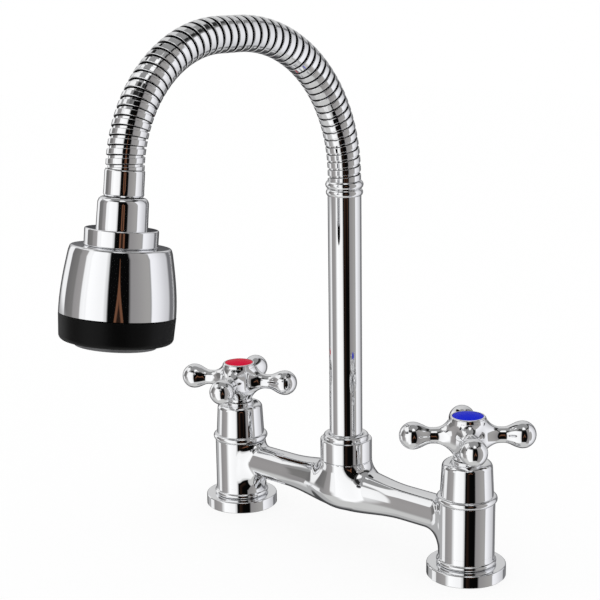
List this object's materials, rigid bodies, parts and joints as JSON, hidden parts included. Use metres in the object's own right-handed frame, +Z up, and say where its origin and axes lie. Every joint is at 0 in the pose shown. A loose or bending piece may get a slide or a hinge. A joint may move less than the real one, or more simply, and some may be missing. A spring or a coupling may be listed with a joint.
{
  "type": "kitchen faucet",
  "caption": "Two-hole bridge kitchen faucet with cross handles, a swivelling riser, a hand-bent ribbed gooseneck hose and a spray head with a turning ring.",
  "frame": {"origin": "middle of the two inlets on the deck plane, under the axis of the riser", "axes": "+Z up along the riser; +X from the hot inlet to the cold inlet; the spout reaches over the sink towards -Y"},
  "size_m": [0.2748, 0.271, 0.3538],
  "materials": {
    "chrome": "polished chrome plate on brass",
    "chromed_plastic": "polished chrome plate on plastic",
    "brass": "machined",
    "rubber": "satin black",
    "ceramic": "lapped ceramic",
    "steel": "turned",
    "red_enamel": "gloss red",
    "blue_enamel": "gloss blue",
    "nylon": "natural",
    "hose_plastic": "translucent white",
    "white_plastic": "moulded",
    "face_plastic": "moulded grey"
  },
  "bodies": {
    "root": {"bridge_body": "chrome", "hot_flange": "chrome", "cold_flange": "chrome", "hot_gasket": "rubber", "cold_gasket": "rubber", "hot_cartridge": "brass", "cold_cartridge": "brass", "hot_seat": "rubber", "cold_seat": "rubber", "hot_fixed_disc": "ceramic", "cold_fixed_disc": "ceramic", "hot_shroud": "chrome", "cold_shroud": "chrome", "riser_nut": "chrome", "riser_collar": "chrome"},
    "hot_valve": {"hot_handle": "chrome", "hot_spindle": "brass", "hot_turning_disc": "ceramic", "hot_screw": "steel", "hot_button": "red_enamel"},
    "cold_valve": {"cold_handle": "chrome", "cold_spindle": "brass", "cold_turning_disc": "ceramic", "cold_screw": "steel", "cold_button": "blue_enamel"},
    "spout": {"riser_tube": "chrome", "riser_foot": "brass", "riser_washer": "nylon", "riser_seals": "rubber", "hose_ferrule": "chrome", "hose_1": "chrome", "inner_hose": "hose_plastic"},
    "hose_link_2": {"hose_2": "chrome"},
    "hose_link_3": {"hose_3": "chrome"},
    "hose_link_4": {"hose_4": "chrome"},
    "hose_link_5": {"hose_5": "chrome"},
    "hose_link_6": {"hose_6": "chrome"},
    "hose_link_7": {"hose_7": "chrome"},
    "spray_head": {"hose_8": "chrome", "head_sleeve": "chrome", "head_union": "chromed_plastic", "head_washer": "rubber", "head_collar": "chromed_plastic", "head_bell": "chromed_plastic", "head_core": "white_plastic"},
    "selector": {"selector_ring": "rubber", "spray_face": "face_plastic", "aerator": "face_plastic"}
  },
  "joints": [
    {"name": "hot_handle_turn", "type": "hinge", "parent": "root", "child": "hot_valve", "pos_m": [-0.1, 0, 0.09], "axis": [0, 0, 1], "range_deg": [0, 90]},
    {"name": "cold_handle_turn", "type": "hinge", "parent": "root", "child": "cold_valve", "pos_m": [0.1, 0, 0.09], "axis": [0, 0, 1], "range_deg": [-90, 0]},
    {"name": "riser_swivel", "type": "hinge", "parent": "root", "child": "spout", "pos_m": [0, 0, 0.055], "axis": [0, 0, 1], "continuous": true},
    {"name": "hose_bend_1", "type": "hinge", "parent": "spout", "child": "hose_link_2", "pos_m": [0, -0.00541, 0.27961], "axis": [1, 0, 0], "range_deg": [-12, 6], "deforming": ["inner_hose"]},
    {"name": "hose_sway_2", "type": "hinge", "parent": "hose_link_2", "child": "hose_link_3", "pos_m": [0, -0.02296, 0.30993], "axis": [0, 0.7583, 0.6519], "range_deg": [-9, 9]},
    {"name": "hose_bend_3", "type": "hinge", "parent": "hose_link_3", "child": "hose_link_4", "pos_m": [0, -0.0503, 0.33182], "axis": [1, 0, 0], "range_deg": [-12, 6]},
    {"name": "hose_sway_4", "type": "hinge", "parent": "hose_link_4", "child": "hose_link_5", "pos_m": [0, -0.08371, 0.34233], "axis": [0, 0.1188, 0.9929], "range_deg": [-9, 9]},
    {"name": "hose_bend_5", "type": "hinge", "parent": "hose_link_5", "child": "hose_link_6", "pos_m": [0, -0.1189, 0.34264], "axis": [1, 0, 0], "range_deg": [-12, 6]},
    {"name": "hose_sway_6", "type": "hinge", "parent": "hose_link_6", "child": "hose_link_7", "pos_m": [0, -0.15194, 0.33135], "axis": [0, -0.5321, 0.8467], "range_deg": [-9, 9]},
    {"name": "hose_bend_7", "type": "hinge", "parent": "hose_link_7", "child": "spray_head", "pos_m": [0, -0.17644, 0.30648], "axis": [1, 0, 0], "range_deg": [-12, 6]},
    {"name": "selector_turn", "type": "hinge", "parent": "spray_head", "child": "selector", "pos_m": [0, -0.19802, 0.18594], "axis": [0, -0.1219, -0.9925], "range_deg": [0, 60]}
  ]
}
